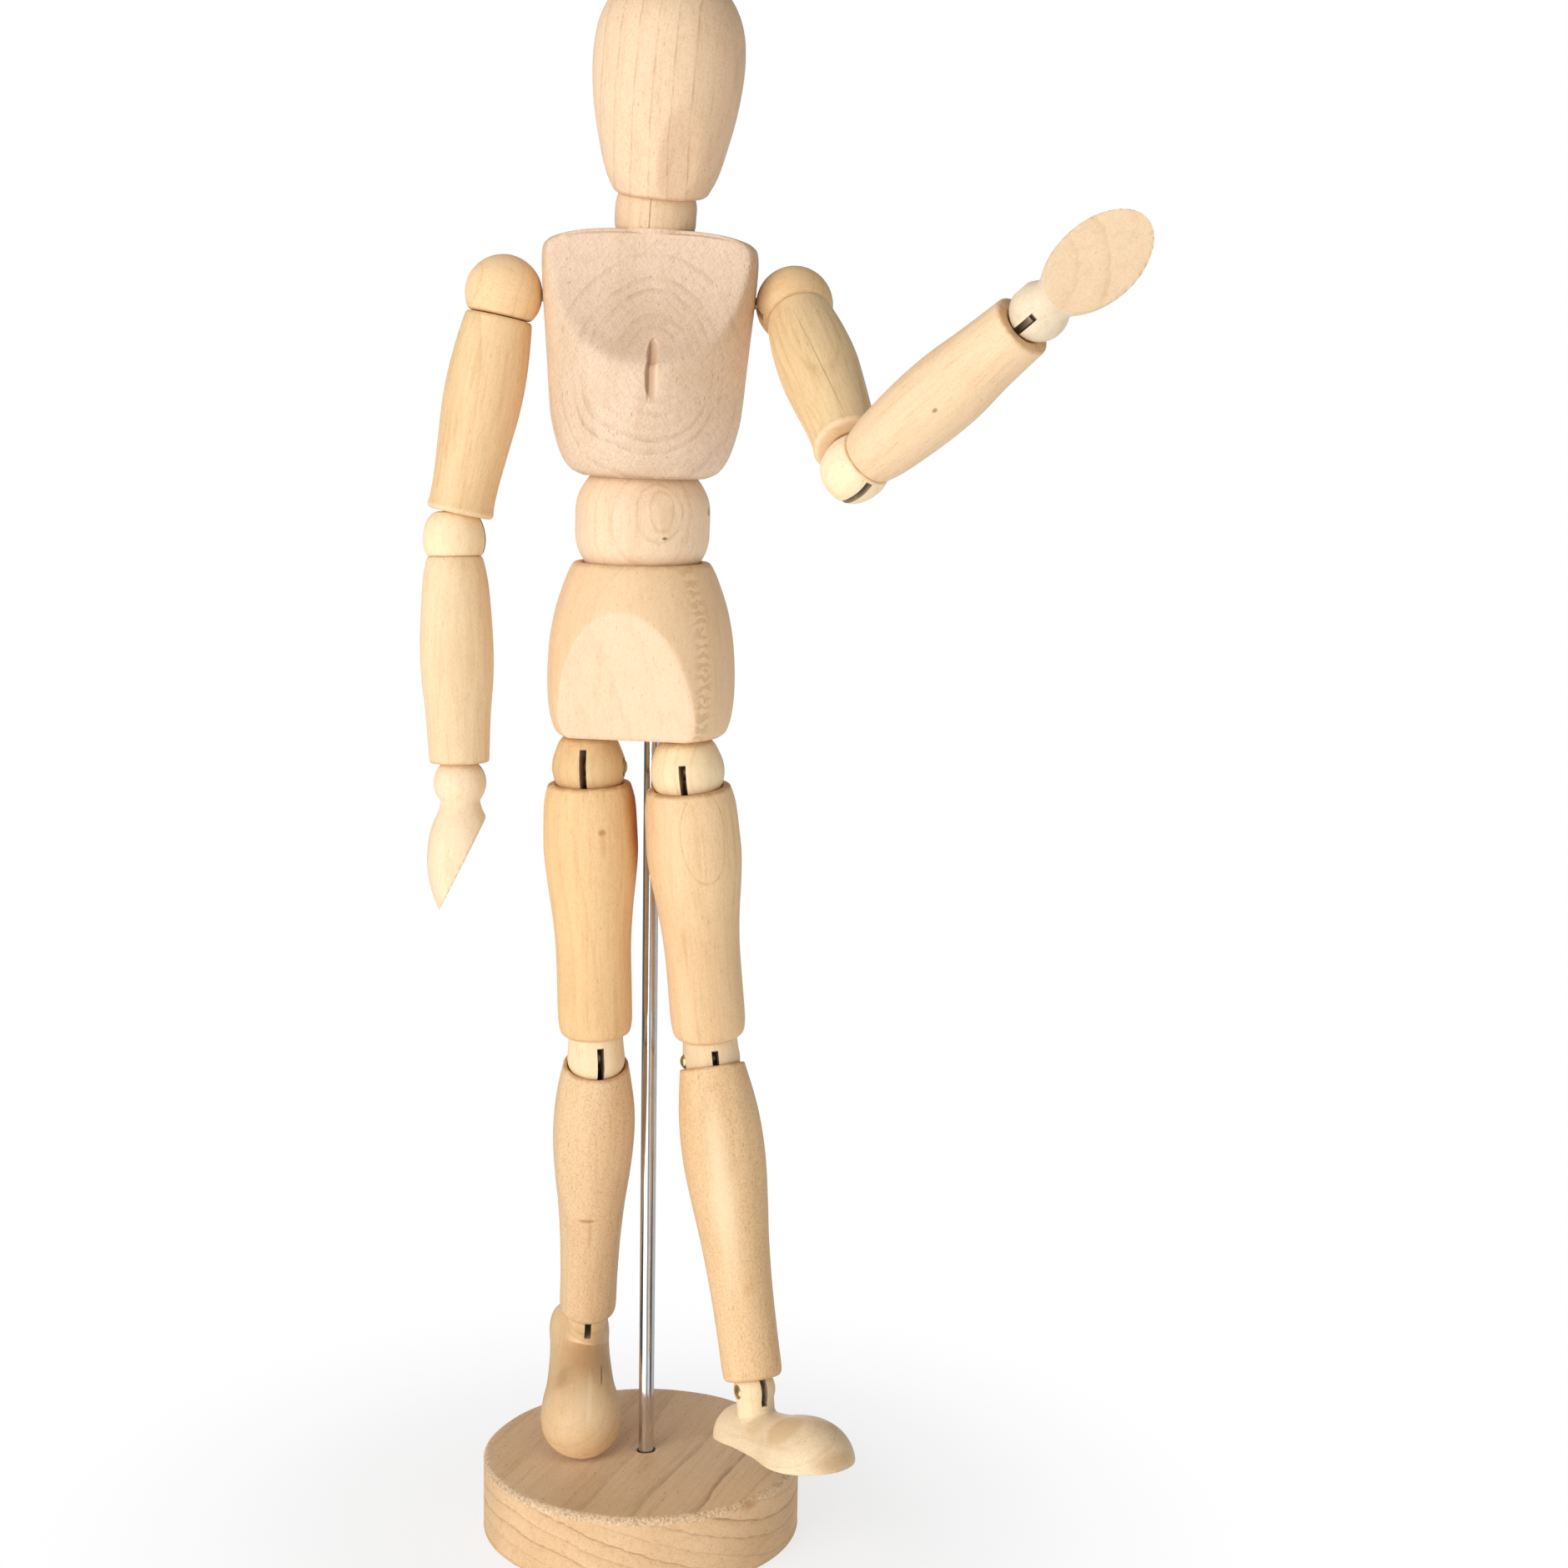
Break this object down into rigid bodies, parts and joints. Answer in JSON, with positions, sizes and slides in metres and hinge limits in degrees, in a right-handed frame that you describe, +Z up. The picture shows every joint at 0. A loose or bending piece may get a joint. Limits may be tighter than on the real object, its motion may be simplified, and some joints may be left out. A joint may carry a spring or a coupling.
{
  "type": "artist drawing mannequin",
  "caption": "Jointed wooden drawing figure on a round stand with a steel rod; turned limbs on ball joints can be posed to show a gesture.",
  "frame": {"origin": "centre of the underside of the round base", "axes": "+Z up; the figure faces -Y, its left side is +X"},
  "size_m": [0.1202, 0.1149, 0.2991],
  "materials": {
    "base_wood": "sanded, unvarnished",
    "rod_steel": "bright drawn",
    "trunk_wood": "sanded, unvarnished",
    "head_wood": "sanded, unvarnished",
    "link_steel": "rolled strip",
    "pin_brass": "plain",
    "upper_arm_wood": "sanded, unvarnished",
    "forearm_wood": "sanded, unvarnished",
    "thigh_wood": "sanded, unvarnished",
    "shin_wood": "sanded, unvarnished",
    "foot_wood": "sanded, unvarnished",
    "joint_ball_wood": "sanded, unvarnished"
  },
  "bodies": {
    "stand": {"base": "base_wood", "support_rod": "rod_steel"},
    "pelvis": {"pelvis": "trunk_wood", "waist_link_lower": "link_steel"},
    "waist": {"waist": "head_wood", "waist_pins": "pin_brass"},
    "spine": {"waist_link_upper": "link_steel"},
    "chest": {"chest": "trunk_wood", "neck_link": "link_steel"},
    "neck": {"neck": "head_wood", "neck_pin": "pin_brass", "neck_peg": "link_steel"},
    "head": {"head": "head_wood"},
    "right_shoulder_swivel": {"right_shoulder_link": "link_steel"},
    "right_shoulder": {"right_shoulder": "upper_arm_wood", "right_shoulder_pin": "pin_brass"},
    "right_upper_arm": {"right_upper_arm": "upper_arm_wood", "right_elbow_link": "link_steel"},
    "right_forearm": {"right_forearm": "forearm_wood", "right_elbow": "forearm_wood", "right_elbow_pin": "pin_brass"},
    "right_wrist_swivel": {"right_wrist_link": "link_steel"},
    "right_hand": {"right_hand": "forearm_wood", "right_wrist_pin": "pin_brass"},
    "right_hip": {"right_hip": "joint_ball_wood", "right_hip_pin": "pin_brass"},
    "right_thigh": {"right_thigh": "thigh_wood", "right_hip_link": "link_steel", "right_knee": "joint_ball_wood", "right_knee_pin": "pin_brass"},
    "right_shin": {"right_shin": "shin_wood", "right_knee_link": "link_steel"},
    "right_ankle_swivel": {"right_ankle_link": "link_steel"},
    "right_foot": {"right_foot": "foot_wood", "right_ankle": "joint_ball_wood", "right_ankle_pin": "pin_brass"},
    "left_shoulder_swivel": {"left_shoulder_link": "link_steel"},
    "left_shoulder": {"left_shoulder": "upper_arm_wood", "left_shoulder_pin": "pin_brass"},
    "left_upper_arm": {"left_upper_arm": "upper_arm_wood", "left_elbow_link": "link_steel"},
    "left_forearm": {"left_forearm": "forearm_wood", "left_elbow": "forearm_wood", "left_elbow_pin": "pin_brass"},
    "left_wrist_swivel": {"left_wrist_link": "link_steel"},
    "left_hand": {"left_hand": "forearm_wood", "left_wrist_pin": "pin_brass"},
    "left_hip": {"left_hip": "joint_ball_wood", "left_hip_pin": "pin_brass"},
    "left_thigh": {"left_thigh": "thigh_wood", "left_hip_link": "link_steel", "left_knee": "joint_ball_wood", "left_knee_pin": "pin_brass"},
    "left_shin": {"left_shin": "shin_wood", "left_knee_link": "link_steel"},
    "left_ankle_swivel": {"left_ankle_link": "link_steel"},
    "left_foot": {"left_foot": "foot_wood", "left_ankle": "joint_ball_wood", "left_ankle_pin": "pin_brass"}
  },
  "joints": [
    {"name": "figure_turn", "type": "hinge", "parent": "stand", "child": "pelvis", "pos_m": [0.00087, 0, 0.161], "axis": [0, 0, 1], "continuous": true},
    {"name": "waist_lean", "type": "hinge", "parent": "pelvis", "child": "waist", "pos_m": [-0.00126, -0.00854, 0.198], "axis": [0.2419, 0.9703, 0], "range_deg": [-10, 10]},
    {"name": "waist_bend", "type": "hinge", "parent": "waist", "child": "spine", "pos_m": [-0.00114, -0.00857, 0.2032], "axis": [0.97, -0.2419, -0.0227], "range_deg": [-8, 12]},
    {"name": "chest_turn", "type": "hinge", "parent": "spine", "child": "chest", "pos_m": [-0.0012, -0.00855, 0.2006], "axis": [0.022, -0.0055, 0.9997], "range_deg": [-35, 35]},
    {"name": "neck_nod", "type": "hinge", "parent": "chest", "child": "neck", "pos_m": [0.00073, -0.00888, 0.25647], "axis": [0.9972, -0.0346, -0.0658], "range_deg": [-20, 12]},
    {"name": "head_turn", "type": "hinge", "parent": "neck", "child": "head", "pos_m": [0.00073, -0.00888, 0.25647], "axis": [0.0585, -0.1804, 0.9818], "range_deg": [-75, 75]},
    {"name": "right_shoulder_swing", "type": "hinge", "parent": "chest", "child": "right_shoulder_swivel", "pos_m": [-0.02688, -0.00785, 0.24188], "axis": [-0.9991, 0.0348, 0.0222], "range_deg": [-40, 120]},
    {"name": "right_shoulder_raise", "type": "hinge", "parent": "right_shoulder_swivel", "child": "right_shoulder", "pos_m": [-0.02688, -0.00785, 0.24188], "axis": [0.0339, 0.9986, -0.0406], "range_deg": [-6, 75]},
    {"name": "right_arm_twist", "type": "hinge", "parent": "right_shoulder", "child": "right_upper_arm", "pos_m": [-0.02846, -0.00812, 0.23404], "axis": [-0.1967, -0.0332, -0.9799], "range_deg": [-65, 80]},
    {"name": "right_elbow_bend", "type": "hinge", "parent": "right_upper_arm", "child": "right_forearm", "pos_m": [-0.03593, -0.00938, 0.1968], "axis": [-0.0681, -0.9966, 0.0474], "range_deg": [-75, 11]},
    {"name": "right_wrist_turn", "type": "hinge", "parent": "right_forearm", "child": "right_wrist_swivel", "pos_m": [-0.0351, -0.01119, 0.15986], "axis": [0.0226, -0.0491, -0.9985], "range_deg": [-90, 90]},
    {"name": "right_wrist_bend", "type": "hinge", "parent": "right_wrist_swivel", "child": "right_hand", "pos_m": [-0.03491, -0.01158, 0.15187], "axis": [0.0191, -0.9986, 0.0495], "range_deg": [-50, 50]},
    {"name": "right_hip_turn", "type": "hinge", "parent": "pelvis", "child": "right_hip", "pos_m": [-0.01123, -0.00804, 0.1646], "axis": [0.0254, -0.0063, -0.9997], "range_deg": [-25, 8]},
    {"name": "right_hip_bend", "type": "hinge", "parent": "right_hip", "child": "right_thigh", "pos_m": [-0.01097, -0.00811, 0.1546], "axis": [-0.9887, 0.1477, -0.0261], "range_deg": [-4, 55]},
    {"name": "right_knee_bend", "type": "hinge", "parent": "right_thigh", "child": "right_shin", "pos_m": [-0.00934, -0.00719, 0.09788], "axis": [0.9815, 0.1891, 0.0313], "range_deg": [-17, 32]},
    {"name": "right_ankle_turn", "type": "hinge", "parent": "right_shin", "child": "right_ankle_swivel", "pos_m": [-0.011, 0.01007, 0.04569], "axis": [-0.0302, 0.3138, -0.949], "range_deg": [-12, 35]},
    {"name": "right_ankle_bend", "type": "hinge", "parent": "right_ankle_swivel", "child": "right_foot", "pos_m": [-0.01125, 0.01258, 0.03809], "axis": [0.9984, 0.0545, -0.0138], "range_deg": [-35, 0]},
    {"name": "left_shoulder_swing", "type": "hinge", "parent": "chest", "child": "left_shoulder_swivel", "pos_m": [0.02627, -0.0097, 0.2407], "axis": [-0.9991, 0.0348, 0.0222], "range_deg": [-80, 80]},
    {"name": "left_shoulder_raise", "type": "hinge", "parent": "left_shoulder_swivel", "child": "left_shoulder", "pos_m": [0.02627, -0.0097, 0.2407], "axis": [-0.0046, -0.6278, 0.7784], "range_deg": [-6, 70]},
    {"name": "left_arm_twist", "type": "hinge", "parent": "left_shoulder", "child": "left_upper_arm", "pos_m": [0.02787, -0.01581, 0.23578], "axis": [-0.2002, 0.7632, 0.6144], "range_deg": [-60, 60]},
    {"name": "left_elbow_bend", "type": "hinge", "parent": "left_upper_arm", "child": "left_forearm", "pos_m": [0.03548, -0.04481, 0.21244], "axis": [-0.7973, -0.4913, 0.3505], "range_deg": [-79, 7]},
    {"name": "left_wrist_turn", "type": "hinge", "parent": "left_forearm", "child": "left_wrist_swivel", "pos_m": [0.05756, -0.06531, 0.23392], "axis": [-0.5966, 0.5541, -0.5805], "range_deg": [-90, 90]},
    {"name": "left_wrist_bend", "type": "hinge", "parent": "left_wrist_swivel", "child": "left_hand", "pos_m": [0.06233, -0.06974, 0.23856], "axis": [0.6693, -0.0556, -0.7409], "range_deg": [-50, 50]},
    {"name": "left_hip_turn", "type": "hinge", "parent": "pelvis", "child": "left_hip", "pos_m": [0.00673, -0.01252, 0.16457], "axis": [-0.0795, 0.0198, 0.9966], "range_deg": [-15, 25]},
    {"name": "left_hip_bend", "type": "hinge", "parent": "left_hip", "child": "left_thigh", "pos_m": [0.00752, -0.01272, 0.1546], "axis": [-0.9858, 0.147, -0.0816], "range_deg": [-4, 55]},
    {"name": "left_knee_bend", "type": "hinge", "parent": "left_thigh", "child": "left_shin", "pos_m": [0.01276, -0.0089, 0.09822], "axis": [0.9838, 0.1479, 0.1014], "range_deg": [-10, 66]},
    {"name": "left_ankle_turn", "type": "hinge", "parent": "left_shin", "child": "left_ankle_swivel", "pos_m": [0.02023, -0.02242, 0.04544], "axis": [-0.1359, 0.2459, 0.9597], "range_deg": [-40, 35]},
    {"name": "left_ankle_bend", "type": "hinge", "parent": "left_ankle_swivel", "child": "left_foot", "pos_m": [0.02131, -0.02439, 0.03776], "axis": [0.8844, 0.4667, 0.0056], "range_deg": [-35, 30]}
  ]
}
